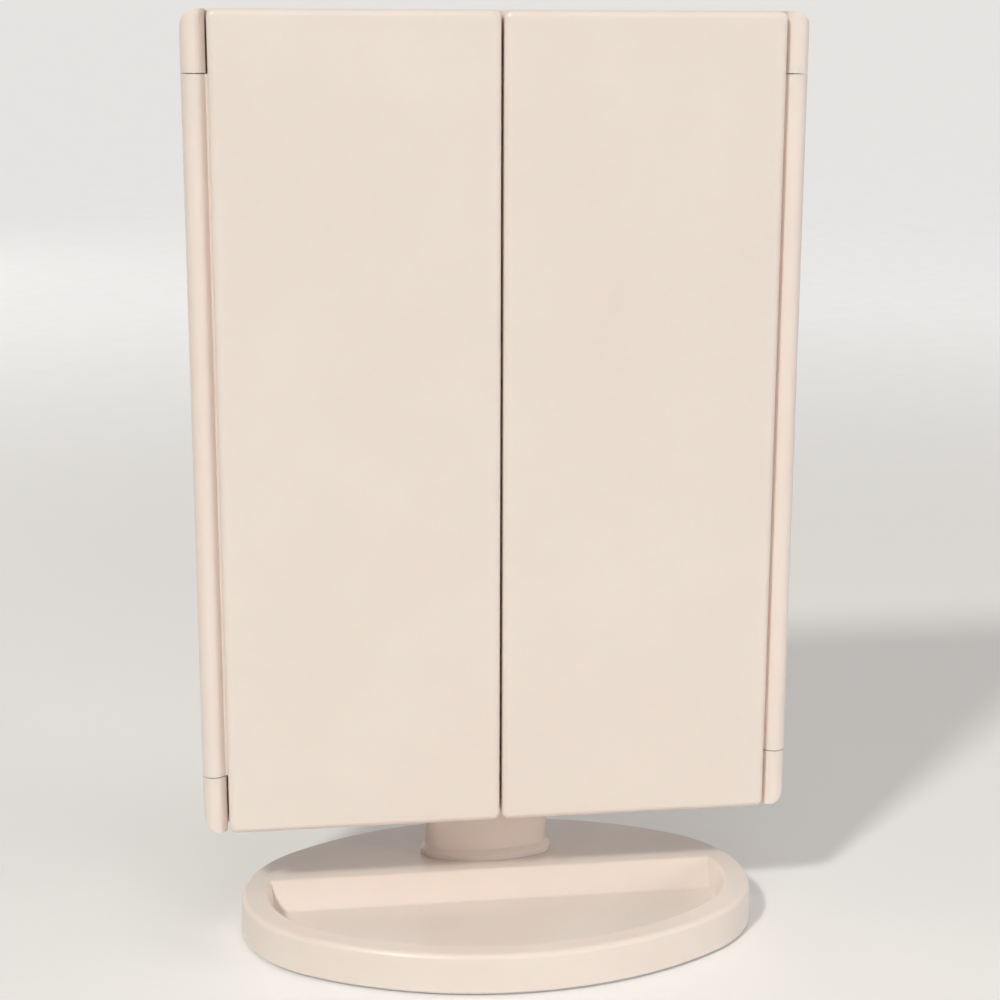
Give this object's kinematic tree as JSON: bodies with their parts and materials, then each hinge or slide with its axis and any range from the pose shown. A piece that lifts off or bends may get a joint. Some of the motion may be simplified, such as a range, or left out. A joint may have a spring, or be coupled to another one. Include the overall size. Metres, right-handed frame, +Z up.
{
  "type": "trifold vanity mirror",
  "caption": "Table mirror with two wings that fold over the centre pane, a lit centre panel, a tilting head and an oval base with a tray.",
  "frame": {"origin": "centre of the base, on the table under the feet", "axes": "+Z up, -Y towards the user, X along the closed head's width"},
  "size_m": [0.185, 0.114, 0.2844],
  "materials": {
    "blush_plastic": "satin moulded, blush cream",
    "mirror_glass": "silvered glass",
    "frosted_plastic": "frosted",
    "steel": "plain zinc",
    "rubber": "matt",
    "washer_plastic": "matt",
    "circuit_board": "lacquered",
    "lamp": "clear resin",
    "black_plastic": "matt",
    "cell_case": "plain sleeve",
    "brass": "plain"
  },
  "bodies": {
    "base": {"base_shell": "blush_plastic", "base_cover": "blush_plastic", "base_feet": "rubber", "base_screws": "steel", "neck_column": "blush_plastic", "neck_screws": "steel"},
    "head": {"tilt_axle": "steel", "friction_washers": "washer_plastic", "tilt_nut": "steel", "tilt_caps": "blush_plastic", "centre_frame": "blush_plastic", "rear_cover": "blush_plastic", "casing_screws": "steel", "centre_mirror": "mirror_glass", "light_diffuser": "frosted_plastic", "led_boards": "circuit_board", "led_chips": "lamp", "control_board": "circuit_board", "board_parts": "black_plastic", "touch_sensor": "circuit_board", "light_wires": "black_plastic", "usb_socket": "steel", "switch_body": "black_plastic", "batteries": "cell_case", "battery_contacts": "brass", "left_hinge_pins": "steel", "right_hinge_pins": "steel"},
    "left_wing": {"left_wing_shell": "blush_plastic", "left_wing_frame": "blush_plastic", "left_mirror_upper": "mirror_glass", "left_mirror_lower": "mirror_glass"},
    "right_wing": {"right_wing_shell": "blush_plastic", "right_wing_frame": "blush_plastic", "right_mirror": "mirror_glass"},
    "switch": {"switch_knob": "black_plastic"},
    "battery_door": {"battery_door": "blush_plastic"}
  },
  "joints": [
    {"name": "head_tilt", "type": "hinge", "parent": "base", "child": "head", "pos_m": [0, 0.0283, 0.052], "axis": [-1, 0, 0], "range_deg": [-10, 90]},
    {"name": "left_wing_fold", "type": "hinge", "parent": "head", "child": "left_wing", "pos_m": [-0.0889, -0.0019, 0.16], "axis": [0, 0, -1], "range_deg": [0, 180]},
    {"name": "right_wing_fold", "type": "hinge", "parent": "head", "child": "right_wing", "pos_m": [0.0889, -0.0019, 0.16], "axis": [0, 0, 1], "range_deg": [0, 180]},
    {"name": "switch_slide", "type": "slide", "parent": "head", "child": "switch", "axis": [1, 0, 0], "range_m": [0, 0.004]},
    {"name": "battery_door_off", "type": "slide", "parent": "head", "child": "battery_door", "axis": [0, 1, 0], "range_m": [0, 0.02]}
  ]
}
